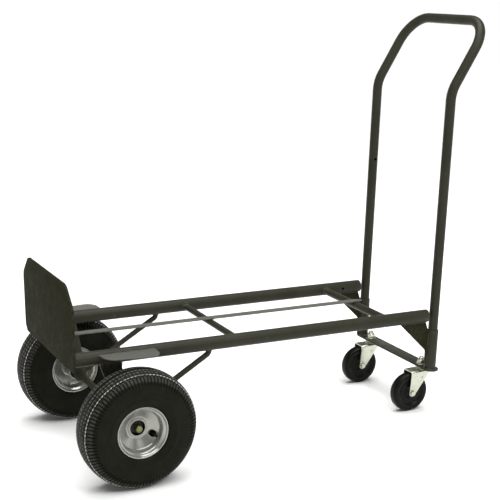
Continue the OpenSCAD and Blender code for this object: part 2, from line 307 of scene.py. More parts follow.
def lathe(profile, n=96):
    """A closed profile of (radius, height) turned about Z; points on the axis become poles."""
    verts, faces, rows = [], [], []
    for r, h in profile:
        if r < 1e-6:
            verts.append((0, 0, h))
            rows.append([len(verts) - 1] * n)
        else:
            rows.append(list(range(len(verts), len(verts) + n)))
            verts += circle_points(r, n, h)
    m = len(rows)
    for i in range(m):
        a, b = rows[i], rows[(i + 1) % m]
        for k in range(n):
            q = (a[k], a[(k + 1) % n], b[(k + 1) % n], b[k])
            q = tuple(dict.fromkeys(q))
            if len(q) > 2:
                faces.append(q)
    return verts, (faces if turns_left(profile) else [tuple(reversed(f)) for f in faces])


def frames_along(path, up):
    """Point, tangent and two square directions at each point of a path, without twist."""
    pts = [Vector(p) for p in path]
    tans = []
    for i in range(len(pts)):
        a, b = pts[max(i - 1, 0)], pts[min(i + 1, len(pts) - 1)]
        tans.append((b - a).normalized())
    u = Vector(up)
    u = (u - tans[0] * u.dot(tans[0])).normalized()
    out = []
    for p, t in zip(pts, tans):
        u = (u - t * u.dot(t)).normalized()
        out.append((p, t, u, t.cross(u)))
    return out


def bent(points, radii, step=6):
    """A path with its inner corners bent to radii."""
    pts = [Vector(p) for p in points]
    out = [pts[0]]
    for i in range(1, len(pts) - 1):
        a, b = (pts[i - 1] - pts[i]).normalized(), (pts[i + 1] - pts[i]).normalized()
        ang = math.acos(max(-1, min(1, a.dot(b))))
        t = radii[i - 1] / math.tan(ang / 2)
        c = pts[i] + (a + b).normalized() * (radii[i - 1] / math.sin(ang / 2))
        s = pts[i] + a * t - c
        side = pts[i] + b * t - c
        turn = math.pi - ang
        axis = s.cross(side).normalized()
        k = max(2, round(math.degrees(turn) / step))
        for j in range(k + 1):
            out.append(c + Matrix.Rotation(turn * j / k, 3, axis) @ s)
    out.append(pts[-1])
    return out


def spaced(path, gap):
    """The path with long runs cut into lengths of about gap."""
    out = [Vector(path[0])]
    for p in path[1:]:
        p = Vector(p)
        k = max(1, round((p - out[-1]).length / gap))
        a = out[-1]
        out += [a + (p - a) * (j + 1) / k for j in range(k)]
    return out


def at_length(fr, dist):
    """Frame at a distance along a list of frames."""
    left = dist
    for i in range(len(fr) - 1):
        d = (fr[i + 1][0] - fr[i][0]).length
        if left <= d or i == len(fr) - 2:
            w = left / d if d else 0
            p = fr[i][0].lerp(fr[i + 1][0], w)
            f = fr[i] if w < 0.5 else fr[i + 1]
            return p, f[1], f[2], f[3]
        left -= d
    return fr[-1]


def tube(path, ro, ri=0.0, n=48, edge=0.5, up=(0, 1, 0)):
    """Round tube or rod along a path, its ends' edges rounded."""
    fr = frames_along(path, up)
    total = sum((fr[i + 1][0] - fr[i][0]).length for i in range(len(fr) - 1))
    walk, d = [], 0.0
    for i, f in enumerate(fr):
        if i:
            d += (fr[i][0] - fr[i - 1][0]).length
        if edge < d < total - edge:
            walk.append((d, f))
    stations = []
    arc = [(edge * (1 - math.cos(w)), edge * (1 - math.sin(w))) for w in (0, rad(30), rad(60), rad(90))]
    # (distance from the end, loss of radius)
    for dist, loss in arc:
        stations.append((dist, ro - loss))
    stations += [(s, ro) for s, _ in walk]
    for dist, loss in reversed(arc):
        stations.append((total - dist, ro - loss))
    if ri:
        e = min(edge, (ro - ri) * 0.3)
        stations += [(total, ri + e), (total - e, ri)]
        stations += [(s, ri) for s, _ in reversed(walk) if e < s < total - e]
        stations += [(e, ri), (0, ri + e)]
    verts, faces = [], []
    for dist, r in stations:
        p, t, u, v = at_length(fr, dist)
        verts += [p + u * x + v * y for x, y, _ in circle_points(r, n)]
    rows = len(stations)
    for i in range(rows if ri else rows - 1):
        a, b = i * n, ((i + 1) % rows) * n
        for k in range(n):
            faces.append((a + k, a + (k + 1) % n, b + (k + 1) % n, b + k))
    if not ri:
        faces.append(tuple(range(n - 1, -1, -1)))
        faces.append(tuple((rows - 1) * n + k for k in range(n)))
    return verts, faces


def inset(pts, d):
    """A closed outline moved inwards by d; the outline runs anticlockwise."""
    out, n = [], len(pts)
    for i in range(n):
        p = Vector(pts[i])
        a, b = (p - Vector(pts[i - 1])).normalized(), (Vector(pts[(i + 1) % n]) - p).normalized()
        na, nb = Vector((-a.y, a.x)), Vector((-b.y, b.x))
        m = (na + nb).normalized()
        out.append(tuple(p + m * (d / max(0.35, m.dot(na)))))
    return out


def plate(outline, t, edge=0.8):
    """A plate from z = 0 to t with rounded edges. Returns (verts, faces); the last two faces are flat."""
    if not turns_left(outline):
        outline = list(reversed(outline))
    arc = [(edge * (1 - math.sin(w)), edge * (1 - math.cos(w))) for w in (0, rad(30), rad(60), rad(90))]
    rows = [(inset(outline, i), z) for i, z in arc] + [(inset(outline, i), t - z) for i, z in reversed(arc)]
    n = len(outline)
    verts = [(x, y, z) for row, z in rows for x, y in row]
    faces = []
    for i in range(len(rows) - 1):
        for k in range(n):
            faces.append((i * n + k, i * n + (k + 1) % n, (i + 1) * n + (k + 1) % n, (i + 1) * n + k))
    faces.append(tuple(range(n - 1, -1, -1)))
    faces.append(tuple((len(rows) - 1) * n + k for k in range(n)))
    return verts, faces


def bead(path, r, pitch=3.2, closed=False, n=10, up=(0, 0, 1)):
    """A weld bead: a rod with the scale pattern of a hand-laid weld."""
    if closed:
        path = list(path) + [path[0]]
    pts = spaced(path, pitch / 4)
    fr = frames_along(pts, up)
    verts, faces, rows = [], [], len(fr) - (1 if closed else 0)
    for i in range(rows):
        p, t, u, v = fr[i]
        wave = (i % 4) / 4
        k = r * (0.86 + 0.2 * wave) * (1 + 0.1 * (rnd.random() - 0.5))
        if not closed:
            k *= min(1.0, 0.25 + math.sqrt(min(i, rows - 1 - i) / 4))
        lean = t * (0.25 * r * wave)
        verts += [p + lean + u * x + v * y for x, y, _ in circle_points(k, n)]
    for i in range(rows if closed else rows - 1):
        a, b = i * n, ((i + 1) % rows) * n
        # a closed bead's frame may come round turned, so the last band takes the nearest start
        s = 0
        if closed and i == rows - 1:
            s = min(range(n), key=lambda q: sum((Vector(verts[a + j]) - Vector(verts[b + (j + q) % n])).length
                                                for j in range(n)))
        for j in range(n):
            faces.append((a + j, a + (j + 1) % n, b + (j + 1 + s) % n, b + (j + s) % n))
    if not closed:
        faces.append(tuple(range(n - 1, -1, -1)))
        faces.append(tuple((rows - 1) * n + j for j in range(n)))
    return verts, faces


def hexagon(across, h, n=48, chamfer=1.0):
    """A nut or bolt head, a hexagon of a given corner radius, with its corners turned off at both ends."""
    flat = across * math.cos(rad(30))
    corners = [flat / math.cos((TAU * k / n) % (TAU / 6) - TAU / 12) for k in range(n)]
    ends = [flat * 0.96] * n
    low = [chamfer * 0.9 - (c - flat) * 0.5 for c in corners]
    rows = ((ends, [0] * n), (corners, low), (corners, [h - chamfer * 0.9] * n), (ends, [h] * n))
    verts, faces = [], []
    for radii, heights in rows:
        verts += [(r * math.cos(TAU * k / n), r * math.sin(TAU * k / n), z)
                  for k, (r, z) in enumerate(zip(radii, heights))]
    for i in range(3):
        for k in range(n):
            faces.append((i * n + k, i * n + (k + 1) % n, (i + 1) * n + (k + 1) % n, (i + 1) * n + k))
    faces.append(tuple(range(n - 1, -1, -1)))
    faces.append(tuple(3 * n + k for k in range(n)))
    return verts, faces


def prism(outline, a, b):
    """An outline carried from height a to height b."""
    n = len(outline)
    verts = [(x, y, z) for z in (a, b) for x, y in outline]
    faces = [(k, (k + 1) % n, n + (k + 1) % n, n + k) for k in range(n)]
    faces += [tuple(reversed(range(n))), tuple(n + k for k in range(n))]
    return verts, faces


def drill(r, length, n=32, start=0):
    return lathe([(0, start), (r, start), (r, length), (0, length)], n)


def smooth(ob, sharp=38):
    ob.data.polygons.foreach_set("use_smooth", [True] * len(ob.data.polygons))
    ob.data.set_sharp_from_angle(angle=rad(sharp))


def applied(ob):
    """The object's modifiers made real."""
    dg = bpy.context.evaluated_depsgraph_get()
    me = bpy.data.meshes.new_from_object(ob.evaluated_get(dg))
    ob.modifiers.clear()
    old, ob.data = ob.data, me
    me.name = ob.name
    bpy.data.meshes.remove(old)
    return ob


def cut(ob, shape, at=None, how="DIFFERENCE"):
    """Cuts a shape (millimetres) out of a piece, or keeps only what both share."""
    me = bpy.data.meshes.new("cutter")
    m = at or Matrix.Identity(4)
    me.from_pydata([(m @ Vector(v)) * MM + Vector((X0, 0, 0)) for v in shape[0]], [], shape[1])
    if m.determinant() < 0:
        me.flip_normals()
    tool = bpy.data.objects.new("cutter", me)
    bpy.context.scene.collection.objects.link(tool)
    b = ob.modifiers.new("cut", "BOOLEAN")
    b.operation, b.solver, b.object = how, "EXACT", tool
    bpy.context.view_layer.update()
    applied(ob)
    bpy.data.objects.remove(tool)
    bpy.data.meshes.remove(me)
    bm = bmesh.new()
    bm.from_mesh(ob.data)
    bmesh.ops.remove_doubles(bm, verts=bm.verts[:], dist=0.01 * MM)
    bmesh.ops.holes_fill(bm, edges=[e for e in bm.edges if e.is_boundary])
    bm.to_mesh(ob.data)
    bm.free()
    smooth(ob)


def repaint(ob, mat, test):
    """A second material on the faces whose middle, in millimetres, passes the test."""
    ob.data.materials.append(mat)
    for p in ob.data.polygons:
        if test(Vector((p.center.x - X0, p.center.y, p.center.z)) / MM):
            p.material_index = len(ob.data.materials) - 1


def rot(axis, deg):
    return Matrix.Rotation(rad(deg), 4, axis)


def shift(x, y, z):
    return Matrix.Translation((x, y, z))


def mirror(s):
    """Identity on the left, a mirror across the middle plane on the right."""
    return Matrix.Identity(4) if s < 0 else Matrix.Diagonal((1, -1, 1, 1))


# ---------------------------------------------------------------- sizes, in millimetres
# x is counted from the toe plate's outer face
SLOPE = 1.3
RAIL_Y, RAIL_R, RAIL_BORE, RAIL_Z = 156, 15.875, 12.875, 285.3
WHEEL_X, WHEEL_Z, WHEEL_Y = 124, 135, 224
SWIVEL_X, CAST_Y, CAST_X, CAST_R = 958, 117, 922, 50.8
BAR_TOP, BAR_T = 121.3, 5
LEG = Vector((956.3, -156, 122.1))
UP = Vector((math.sin(rad(SLOPE)), 0, math.cos(rad(SLOPE))))
ALONG = shift(0, 0, RAIL_Z) @ rot("Y", SLOPE)     # x along the rails, z square to them
MID_U, MID_R = 408, 7.95                          # middle crossbar: place along the rail, radius
REAR_U, REAR_R = 825, 9.5                         # rear crossbar, whose top is flush with the strap's seat
REAR_W = MID_R - REAR_R                           # below the rails' axis, so that both bars' tops are level
GUSSET_X0, GUSSET_X1 = 858, 935
SLEEVE_R = 14.25
LOCK_HOLE_R = 4                                   # locking holes in the rails and the handle's legs,
RAIL_HOLE_U, LEG_HOLE_U = 877, 490                # and their places along them


def rail_point(u, w=0.0, y=0.0):
    return ALONG @ Vector((u, y, w))


# ---------------------------------------------------------------- welded frame
half = [(166, 261), (178, 277), (178, 398), (175, 410), (146, 440), (138, 448), (126, 452)]
radii = [6, 8, 10, 26, 30, 14, 12]
outline = fillet([(-166, 261)] + half + [(-y, z) for y, z in reversed(half[1:])],
                 [6] + radii + radii[:0:-1], 8)
v, f = plate(outline, 5, 1.1)
finish("toe_plate_steel", v, f, "frame", SHADED_PLATE, "frame_coat", ["toe_plate"],
       Matrix(((0, 0, 1, 0), (1, 0, 0, 0), (0, 1, 0, 0), (0, 0, 0, 1))), flat=(len(f) - 1, len(f) - 2))

for side, s in SIDES:
    # side rail, with its locking hole in the inner wall
    path = [rail_point(u, 0, -RAIL_Y) for u in
            [4.7] + list(range(30, 860, 40)) + [862 + 1.5 * k for k in range(21)] + [915, 936]]
    ob = finish(f"rail_tube_{side}", *tube(path, RAIL_R, RAIL_BORE, 72, 0.7), "frame", FRAME, "frame_coat",
                [f"rail_{side}"], mirror(s))
    cut(ob, moved(drill(LOCK_HOLE_R, 30), ALONG @ shift(RAIL_HOLE_U, -RAIL_Y, 0) @ rot("X", -90)), mirror(s))


def coped_bar(u, w, r, n=56):
    """A crossbar between the rails, its ends shaped to them."""
    verts, faces, rows = [], [], 13
    for i in range(rows):
        k = 2 * i / (rows - 1) - 1
        for j in range(n):
            z, x = w + r * math.sin(TAU * j / n), u + r * math.cos(TAU * j / n)
            reach = RAIL_Y - math.sqrt(RAIL_R ** 2 - z * z) + 0.8
            verts.append(ALONG @ Vector((x, k * reach, z)))
    for i in range(rows - 1):
        for j in range(n):
            a, b = i * n, (i + 1) * n
            faces.append((a + j, b + j, b + (j + 1) % n, a + (j + 1) % n))
    faces.append(tuple(range(n)))
    faces.append(tuple((rows - 1) * n + j for j in reversed(range(n))))
    return verts, faces


for node, *bar in (("mid_crossbar", MID_U, 0, MID_R), ("rear_crossbar", REAR_U, REAR_W, REAR_R)):
    finish(f"{node}_tube", *coped_bar(*bar), "frame", FRAME, "frame_coat", [node])
outline = fillet([(4.8, -10), (824, -10), (844, -3), (844, 3), (824, 10), (4.8, 10)], [0, 12, 3, 3, 12, 0], 4)
v, f = plate(outline, 3, 0.7)
finish("centre_strap_steel", v, f, "frame", LIT_TOP_COAT, "frame_coat", ["centre_strap"],
       ALONG @ shift(0, 0, MID_R), flat=(len(f) - 1, len(f) - 2))

STRUT_LO, STRUT_HI = Vector((WHEEL_X, -RAIL_Y, WHEEL_Z)), Vector((331, -RAIL_Y, 255))


def strut_shape():
    """A tube flattened to an eye at the axle and bent up to the rail."""
    path = bent([STRUT_LO, STRUT_HI, STRUT_HI + Vector((0, 0, 12))], [11], 8)
    fr = frames_along(spaced(path, 2.5), (0, 1, 0))
    verts, n = [], 40
    total = sum((fr[i + 1][0] - fr[i][0]).length for i in range(len(fr) - 1))
    d, rings = 0.0, []
    for dist in (-13.6, -12.5, -10, -6, 0):
        rings.append((fr[0][0] + fr[0][1] * dist, fr[0], 2.5, math.sqrt(max(0.2, 14 ** 2 - dist ** 2))))
    for i, q in enumerate(fr):
        if i:
            d += (q[0] - fr[i - 1][0]).length
        if d < 4 or d > total - 0.01:
            continue
        k = max(0.0, min(1.0, (d - 24) / 34))
        k = k * k * (3 - 2 * k)
        wide = math.sqrt(max(0, 196 - d * d)) if d < 11 else 8.7
        wide = max(wide, 8.7)
        rings.append((q[0], q, 2.5 + (6.5 - 2.5) * k, wide + (6.5 - wide) * k))
    rings.append((fr[-1][0], fr[-1], 6.5, 6.5))
    for p, q, ry, rz in rings:
        power = 0.55 + 0.45 * max(0.0, min(1.0, (ry - 2.5) / 4))
        for j in range(n):
            c, w = math.cos(TAU * j / n), math.sin(TAU * j / n)
            a = math.copysign(abs(c) ** power, c) * ry
            b = math.copysign(abs(w) ** power, w) * rz
            verts.append(p + Vector((0, 1, 0)) * a + q[1].cross(Vector((0, 1, 0))) * b)
    faces = []
    for i in range(len(rings) - 1):
        for j in range(n):
            a, b = i * n, (i + 1) * n
            faces.append((a + j, a + (j + 1) % n, b + (j + 1) % n, b + j))
    faces.append(tuple(reversed(range(n))))
    faces.append(tuple((len(rings) - 1) * n + j for j in range(n)))
    return verts, faces


def flat_xz(y):
    """Puts a plate drawn in x and z between y and y + its thickness."""
    return Matrix(((1, 0, 0, 0), (0, 0, 1, y), (0, 1, 0, 0), (0, 0, 0, 1)))


for side, s in SIDES:
    m = mirror(s)
    outline = fillet([(60, -167.6), (61, -180), (65, -194), (72, -204), (82, -210), (96, -213), (160, -222),
                      (174, -221), (184, -213), (190, -200), (191, -184), (191, -167.6)],
                     [0, 20, 14, 14, 14, 20, 12, 12, 12, 12, 12, 0], 6)
    v, f = plate(outline, 3, 0.7)
    v, f = moved((v, f), ALONG @ shift(0, 0, 7.5))
    finish(f"fender_guard_{side}", v, f, "frame", LIT_TOP_COAT, "frame_coat", [f"fender_{side}"], m,
           flat=(len(f) - 1, len(f) - 2))

    outline = fillet([(66, 270.8), (118, 269.6), (118, 266), (141, 137), (138, 126), (131, 119.5),
                      (124, 118), (117, 119.5), (110, 126), (107.5, 137), (109.5, 140)],
                     [0, 0, 3, 4, 8, 8, 8, 8, 8, 8, 2], 4)
    v, f = plate(outline, 5, 0.9)
    finish(f"axle_hanger_{side}", *moved((v, f), flat_xz(-152.5)), "frame", FRAME, "frame_coat",
           [f"axle_bracket_{side}"], m, flat=(len(f) - 1, len(f) - 2))

    finish(f"strut_tube_{side}", *strut_shape(), "frame", FRAME, "frame_coat", [f"strut_{side}"], m)

    outline = fillet([(GUSSET_X0, 250.4), (GUSSET_X1, 248.7), (GUSSET_X1, 246), (938.5, 236), (942, 227.5),
                      (944.9, 224), (942.6, 121.5), (938, 121.5), (938, 172)],
                     [0, 0, 2, 10, 10, 3, 0, 0, 8], 4)
    v, f = plate(outline, 4.5, 0.8)
    finish(f"gusset_steel_{side}", *moved((v, f), flat_xz(-158.25)), "frame", SHADED_PLATE, "frame_coat",
           [f"gusset_{side}"], m, flat=(len(f) - 1, len(f) - 2))

    path = [LEG + UP * h for h in (-0.9, 40, 80, 101.9)]
    finish(f"sleeve_tube_{side}", *tube(path, SLEEVE_R, 12.3, 72, 0.7), "frame", FRAME, "frame_coat",
           [f"sleeve_{side}"], m)

bar_x, bar_end_r = 960, 18
outline = [(bar_x + bar_end_r * math.cos(w), y + bar_end_r * math.sin(w))
           for y, start in ((-RAIL_Y, 180), (RAIL_Y, 0)) for w in [rad(start + 7.5 * k) for k in range(25)]]
v, f = plate(outline, BAR_T, 0.9)
finish("caster_bar_steel", v, f, "frame", FRAME, "frame_coat", ["caster_crossbar"],
       shift(0, 0, BAR_TOP - BAR_T), flat=(len(f) - 1, len(f) - 2))


# ---------------------------------------------------------------- weld beads
def cope_loop(u, w, r, grow=0.9, n=44):
    """Where a crossbar meets the left rail."""
    pts = []
    for k in range(n):
        x, z = u + (r + grow) * math.cos(TAU * k / n), w + (r + grow) * math.sin(TAU * k / n)
        pts.append(ALONG @ Vector((x, -RAIL_Y + math.sqrt(max(0.0, (RAIL_R + 0.3) ** 2 - z * z)), z)))
    return pts


def ring_points(c, axis, r, n=48):
    """Points round an axis from c."""
    p, _, u, v = frames_along([c, Vector(c) + Vector(axis)], (0, 1, 0))[0]
    return [p + u * x + v * y for x, y, _ in circle_points(r, n)]


def line(a, b, n=8):
    a, b = Vector(a), Vector(b)
    return [a + (b - a) * k / n for k in range(n + 1)]


along = rail_point(1) - rail_point(0)
for side, s in SIDES:
    beads = [bead(cope_loop(MID_U, 0, MID_R), 1.7, closed=True, up=(1, 0, 0)),
             bead(cope_loop(REAR_U, REAR_W, REAR_R), 1.8, closed=True, up=(1, 0, 0)),
             bead(ring_points(rail_point(5.6, 0, -RAIL_Y), along, RAIL_R + 0.7), 2.3, closed=True),
             bead(ring_points(LEG - UP * 0.2, UP, 14.6, 48), 2.0, closed=True)]
    for a, b in ((66, 92), (108, 134), (150, 176)):
        beads.append(bead(line(rail_point(a, 10.9, -167.6), rail_point(b, 10.9, -167.6)), 1.6))
    for y in (-152.9, -147.1):
        z = -math.sqrt(RAIL_R ** 2 - (y + RAIL_Y) ** 2) - 0.3
        beads.append(bead(line(rail_point(68, z, y), rail_point(116, z, y)), 1.9))
    for y in (-158.7, -153.3):
        z = -math.sqrt(RAIL_R ** 2 - (y + RAIL_Y) ** 2) - 0.3
        beads.append(bead(line(rail_point(864, z, y), rail_point(930, z, y)), 1.9))
        for z0, z1 in ((128, 158), (184, 216)):
            x0, x1 = (LEG.x - 14.1 + (z - LEG.z) * math.tan(rad(SLOPE)) for z in (z0, z1))
            beads.append(bead(line((x0, y, z0), (x1, y, z1)), 1.7, up=(1, 0, 0)))
    r = 6.9
    top = ring_points((STRUT_HI.x, -RAIL_Y, 261.6), (0, 0, 1), r, 28)
    beads.append(bead([p + Vector((0, 0, 1.6 * ((p.y + RAIL_Y) / r) ** 2)) for p in top], 1.5, closed=True))
    finish(f"weld_beads_{side}", *join(*beads), "frame", FRAME, "frame_coat", (), mirror(s), sharp=80)
beads = []
for y in (-10.3, 10.3):
    for u in (MID_U, REAR_U):
        beads.append(bead(line(rail_point(u - 7, 8.5, y), rail_point(u + 7, 8.5, y), 5), 1.3))
beads.append(bead(line(rail_point(5.4, 11.2, -9), rail_point(5.4, 11.2, 9)), 1.5))
beads.append(bead(line(rail_point(5.4, 7.6, -9), rail_point(5.4, 7.6, 9)), 1.5))
finish("weld_beads_strap", *join(*beads), "frame", FRAME, "frame_coat", sharp=80)

# ---------------------------------------------------------------- axle set
AXLE_AT = shift(WHEEL_X, 0, WHEEL_Z) @ rot("X", 90)          # z runs to the left wheel


def ring_profile(ri, ro, h0, h1, edge=0.4):
    return fillet([(ri, h0), (ro, h0), (ro, h1), (ri, h1)], edge, 3)


AXLE_R, DARK_REACH = 7.94, 176                                  # the axle's middle, out to this distance either side, takes the frame's dark colour
end = [(AXLE_R, DARK_REACH), (AXLE_R, 238.4), (6.4, 240), (5.6, 240), (3.0, 238.6), (0, 238.4)]
prof = [(r, -h) for r, h in reversed(end)] + end
ob = finish("axle_shaft", *lathe(prof, 72), "frame", AXLE, "zinc", ["axle"], AXLE_AT)
repaint(ob, FRAME, lambda c: abs(c.y) < DARK_REACH)
spacer = ring_profile(AXLE_R, 11.5, 158.5, 174.6, 0.6)
washer = ring_profile(AXLE_R, 14, 218.4, 220.4, 0.5)
circlip = fillet([(AXLE_R, 220.4), (11, 220.4), (10.8, 221.2), (9.2, 222.2), (AXLE_R, 222.4)], 0.3, 3)
for node, name, prof, mat, slot in (
        ("axle_spacers", "axle_spacer_tubes", spacer, ZINC, "zinc"),
        ("axle_washers", "axle_end_washers", washer, DARK_STEEL, "bearing_steel"),
        ("axle_rings", "axle_retaining_rings", circlip, DARK_STEEL, "bearing_steel")):
    one = lathe(prof, 64)
    finish(name, *join(one, moved(one, rot("X", 180))), "frame", mat, slot, [node], AXLE_AT)


# ---------------------------------------------------------------- large wheels
LUGS, PER = 96, 8
STEPS = (0.0, 0.18, 0.29, 0.35, 0.5, 0.65, 0.71, 0.82)       # samples within one lug's pitch


TYRE_MID, TYRE_DEEP, TYRE_HALF, SQUARE = 91.2, 43.8, 46.25, 0.75    # section's centre, size and squareness


def loop_point(a):
    """The tyre's outer skin: radius and half width at an angle from the crown."""
    c, w = math.cos(rad(a)), math.sin(rad(a))
    return (TYRE_MID + TYRE_DEEP * math.copysign(abs(c) ** SQUARE, c),
            TYRE_HALF * math.copysign(abs(w) ** SQUARE, w))


def loop_angle(y):
    """The angle from the crown at which the skin is y from the middle."""
    return math.copysign(math.degrees(math.asin(min(1.0, (abs(y) / TYRE_HALF) ** (1 / SQUARE)))), y)


def inner_point(a):
    return (90 + 36 * math.copysign(abs(math.cos(rad(a))) ** SQUARE, math.cos(rad(a))),
            40.75 * math.sin(rad(a)) ** SQUARE)


def side_depth(aa, lug):
    """How far the sidewall lies inside the plain skin: shoulder slots, rings and the bead's edge."""
    if 40 < aa < 73:
        return (2.0 if lug else -0.25) * min(1.0, (aa - 39.5) / 3, (73 - aa) / 5)
    return {101: -1.3, 103: -1.3, 75: 0.3, 79: 0.3, 122: -0.5, 125: -0.5}.get(aa, 0.0)


def skin_normal(a):
    """Outwards, square to the skin."""
    (r0, y0), (r1, y1), (r, y) = loop_point(a - 0.5), loop_point(a + 0.5), loop_point(a)
    q = math.hypot(r1 - r0, y1 - y0)
    nr, ny = (y1 - y0) / q, -(r1 - r0) / q
    return (nr, ny) if nr * (r - TYRE_MID) + ny * y >= 0 else (-nr, -ny)


def tyre_shape():
    """Ribbed tread with sawtooth edges, cut shoulder lugs, ringed sidewalls and a plain inside."""
    grooves = ((8.5, 1.5), (19.5, 1.6), (30.0, 2.1))                 # distance from the middle, half width
    marks = []                                                       # (angle, kind, groove's place)
    for y0, hw in grooves:
        for g in (-1, 1):
            for off, kind in ((hw + 1.4, "land"), (hw + 0.45, "lip"), (hw - 0.25, "wall")):
                marks += [(loop_angle(g * (y0 + e)), kind, y0) for e in (-off, off)]
    for y in (0, 3.2, 14, 25):
        marks += [(loop_angle(g * y), "land", 0) for g in ((1,) if y == 0 else (1, -1))]
    for a in (39, 41, *range(44, 69, 4), 70, 72, *range(75, 100, 4), 101, 103, *range(106, 123, 4),
              125, 127, 128.3):
        marks += [(a, "side", 0), (-a, "side", 0)]
    marks.sort(reverse=True)                                         # from the outer bead over the crown
    bead_out = [(60.45, 36.2), (60.5, 34.3), (57.6, 33.35), (52.8, 29.4), (50.7, 27.0), (50.6, 20.4)]
    inner = [(62, 21)] + [inner_point(a) for a in (128, 112, 90, 60, 30)]
    verts, dust_and_sheen, faces = [], [], []
    cols = LUGS * PER
    for k in range(cols):
        phi = STEPS[k % PER]
        th = TAU * (k // PER + phi) / LUGS
        saw = phi * 1.5 - 0.55                                       # sawtooth shift of the groove's edges
        lug = 0.34 < phi < 0.66
        col = []
        for a, kind, y0 in marks:
            r, y = loop_point(a)
            d = g = 0.0                                              # depth, and pale marks: dusting, and a painted highlight on the groove lips
            outer = y0 > 25
            if y0:
                y += math.copysign(1, y) * saw * (0.7 if kind == "land" else 1.25) * (1 if outer else 0.8)
            if kind == "wall":
                d = 3.0 if outer else 2.4
            elif kind == "lip":
                d = 0.15
                # the groove lips get a dotted pale line, brightest at the outer grooves: a painted highlight
                g = (1.0 if outer else 0.3) * (0.35 if phi == 0 else 1.0) * (1.0 if phi < 0.6 else 0.25)
            elif kind == "side":
                d = side_depth(abs(a), lug)
                g = 0.04 if (40 < abs(a) < 60 and not lug) else 0.0
            nr, ny = skin_normal(a)
            col.append((r - nr * d, y - ny * d, g))
        col += [(r, -y, 0) for r, y in bead_out]
        col += [(r, -y, 0) for r, y in inner] + [(126, 0, 0)] + [(r, y, 0) for r, y in reversed(inner)]
        col += [(r, y, 0) for r, y in reversed(bead_out)]
        for r, y, g in col:
            verts.append((r * math.cos(th), r * math.sin(th), y))
            dust_and_sheen.append(g)
    m = len(col)
    for k in range(cols):
        a, b = k * m, ((k + 1) % cols) * m
        for i in range(m):
            faces.append((a + i, a + (i + 1) % m, b + (i + 1) % m, b + i))
    return verts, faces, dust_and_sheen


DISH_OUT, DISH_IN = (46.3, 14.4), (30, 4.9)                         # the dish's slope: radius, height


def rim_profile():
    """One pressed half: flange, bead seat, well and dish, then back along its inner side."""
    lip = [(60.2, 34.2, 0.7), (60.2, 36.2, 1.2), (58.9, 37.35, 0.9), (57.0, 37.0, 1.0), (55.6, 34.6, 1.5)]
    seat = [(54, 32.6, 2.5), (50.4, 30.6, 1.8), (48.5, 28, 2.2), (48.5, 17.2, 3.0)]
    dish = [(*DISH_OUT, 2.5), (*DISH_IN, 9), (26, 2.4, 5), (20.5, 1.7, 0.3)]
    back = [(20.5, 0.05, 0.3), (27, 0.05, 3), (47.4, 12.6, 3), (50.5, 15.7, 2), (50.5, 27, 1.5),
            (52.7, 29.3, 2), (57.5, 33.2, 1.0)]
    pts = lip + seat + dish + back
    return fillet([(r, h) for r, h, _ in pts], [c for _, _, c in pts], 4)


VALVE_TURN, VALVE_R, VALVE_HOLE = -27, 36.5, 8.5
HUB_OUT, HUB_BORE, HUB_R = 5, 17.5, 20.5


def valve_hole_edge():
    """The valve hole's outline, lying on the dish."""
    slope = (DISH_OUT[1] - DISH_IN[1]) / (DISH_OUT[0] - DISH_IN[0])
    eye = []
    for x, y, _ in circle_points(VALVE_HOLE, 48):
        past = math.hypot(x + VALVE_R, y) - DISH_IN[0]
        z = DISH_IN[1] + (past * slope + 0.1 if past > 0 else past * 0.55)
        eye.append(rot("Z", VALVE_TURN) @ Vector((x + VALVE_R, y, z)))
    return eye


